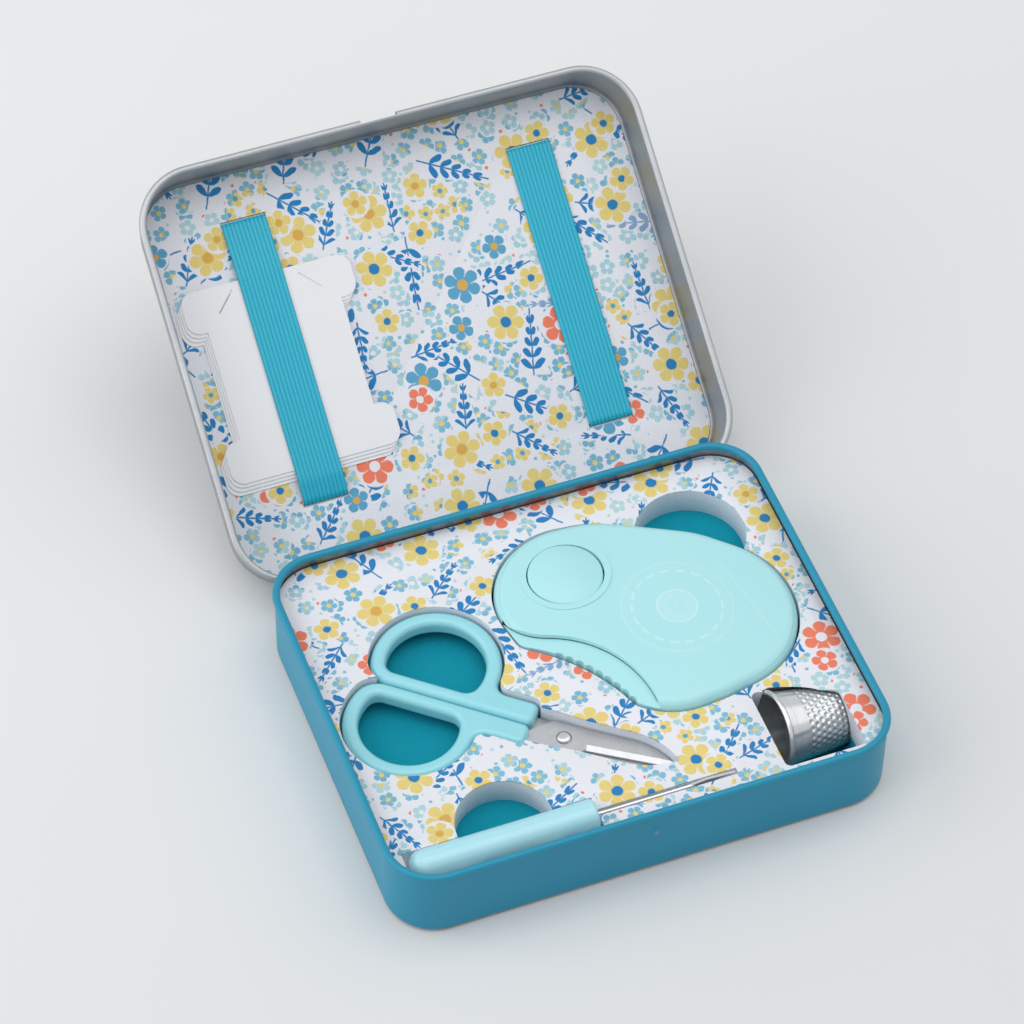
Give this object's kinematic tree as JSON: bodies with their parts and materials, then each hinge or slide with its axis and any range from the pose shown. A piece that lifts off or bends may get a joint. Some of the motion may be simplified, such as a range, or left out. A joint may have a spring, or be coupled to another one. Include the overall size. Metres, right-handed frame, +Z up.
{
  "type": "sewing tin",
  "caption": "Hinged tin with a lined lid, elastic bands and a foam nest for scissors, a squeeze rotary cutter, a seam ripper and a thimble.",
  "frame": {"origin": "centre of the tin's underside", "axes": "+X to the tin's right seen from the front, +Y from the front to the hinge, +Z up; the lid is stored open"},
  "size_m": [0.1252, 0.1874, 0.065],
  "materials": {
    "painted_tin": "teal lacquer on tinplate, satin",
    "bare_tinplate": "bare tinplate, satin",
    "bare_steel": "plain steel",
    "cutting_steel": "ground steel",
    "thimble_metal": "nickel-plated, dimpled",
    "teal_foam": "closed-cell foam, matt",
    "white_foam": "closed-cell foam, matt",
    "print_fabric": "small flower print on white",
    "liner_fabric": "small flower print on white, over card",
    "elastic": "ribbed elastic",
    "card": "white card",
    "blue_plastic": "pale aqua plastic, gloss",
    "mint_plastic": "pale aqua plastic, satin gloss"
  },
  "bodies": {
    "base": {"base_tin": "painted_tin", "hinge_tabs": "bare_steel", "foam_base": "teal_foam", "foam_top": "white_foam", "nest_fabric": "print_fabric"},
    "lid": {"lid_tin": "bare_tinplate", "hinge_wire": "bare_steel", "lid_liner": "liner_fabric", "elastic_left": "elastic", "elastic_right": "elastic"},
    "thread_cards": {"thread_card_1": "card", "thread_card_2": "card", "thread_card_3": "card", "thread_card_4": "card"},
    "scissors": {"scissors_front_handle": "blue_plastic", "scissors_front_blade": "cutting_steel", "scissors_rivet": "bare_steel"},
    "scissors_half": {"scissors_rear_handle": "blue_plastic", "scissors_rear_blade": "cutting_steel"},
    "cutter": {"cutter_top_shell": "mint_plastic", "cutter_bottom_shell": "mint_plastic", "cutter_pivot_pin": "bare_steel", "cutter_return_spring": "bare_steel", "cutter_screws": "bare_steel"},
    "cutter_lever": {"cutter_trigger": "mint_plastic", "cutter_blade_screw": "bare_steel"},
    "cutter_disc": {"cutter_blade": "cutting_steel"},
    "lock_button": {"cutter_lock_button": "mint_plastic", "cutter_button_spring": "bare_steel"},
    "seam_ripper": {"ripper_handle": "blue_plastic", "ripper_shaft": "cutting_steel"},
    "thimble_cup": {"thimble": "thimble_metal"}
  },
  "joints": [
    {"name": "lid_hinge", "type": "hinge", "parent": "base", "child": "lid", "pos_m": [0, 0.04995, 0.0093], "axis": [1, 0, 0], "range_deg": [0, 146.8]},
    {"name": "cards_slide", "type": "slide", "parent": "lid", "child": "thread_cards", "axis": [1, 0, 0], "range_m": [0, 0.038]},
    {"name": "scissors_lift", "type": "slide", "parent": "base", "child": "scissors", "axis": [0, 0, 1], "range_m": [0, 0.2]},
    {"name": "scissors_open", "type": "hinge", "parent": "scissors", "child": "scissors_half", "pos_m": [-0.0099, -0.017, 0.01305], "axis": [0, 0, -1], "range_deg": [0, 40.2]},
    {"name": "cutter_lift", "type": "slide", "parent": "base", "child": "cutter", "axis": [0, 0, 1], "range_m": [0, 0.08]},
    {"name": "trigger_squeeze", "type": "hinge", "parent": "cutter", "child": "cutter_lever", "pos_m": [0.016, -0.012, 0.0114], "axis": [0, 0, -1], "range_deg": [0, 12.1]},
    {"name": "blade_spin", "type": "hinge", "parent": "cutter_lever", "child": "cutter_disc", "pos_m": [0.033, -0.0049, 0.0134], "axis": [0, 0, 1], "continuous": true},
    {"name": "button_press", "type": "slide", "parent": "cutter", "child": "lock_button", "axis": [0, 0, -1], "range_m": [0, 0.001], "stiffness_N_per_m": 400, "springref_m": -0.001, "deforming": ["cutter_button_spring"]},
    {"name": "ripper_lift", "type": "slide", "parent": "base", "child": "seam_ripper", "axis": [0, 0, 1], "range_m": [0, 0.13]},
    {"name": "thimble_lift", "type": "slide", "parent": "base", "child": "thimble_cup", "axis": [0, 0, 1], "range_m": [0, 0.15]}
  ],
  "couplings": [
    {"joint": "scissors_open", "follows": "scissors_lift", "rad_per_m": 3.49},
    {"joint": "trigger_squeeze", "follows": "cutter_lift", "rad_per_m": 2.618}
  ]
}
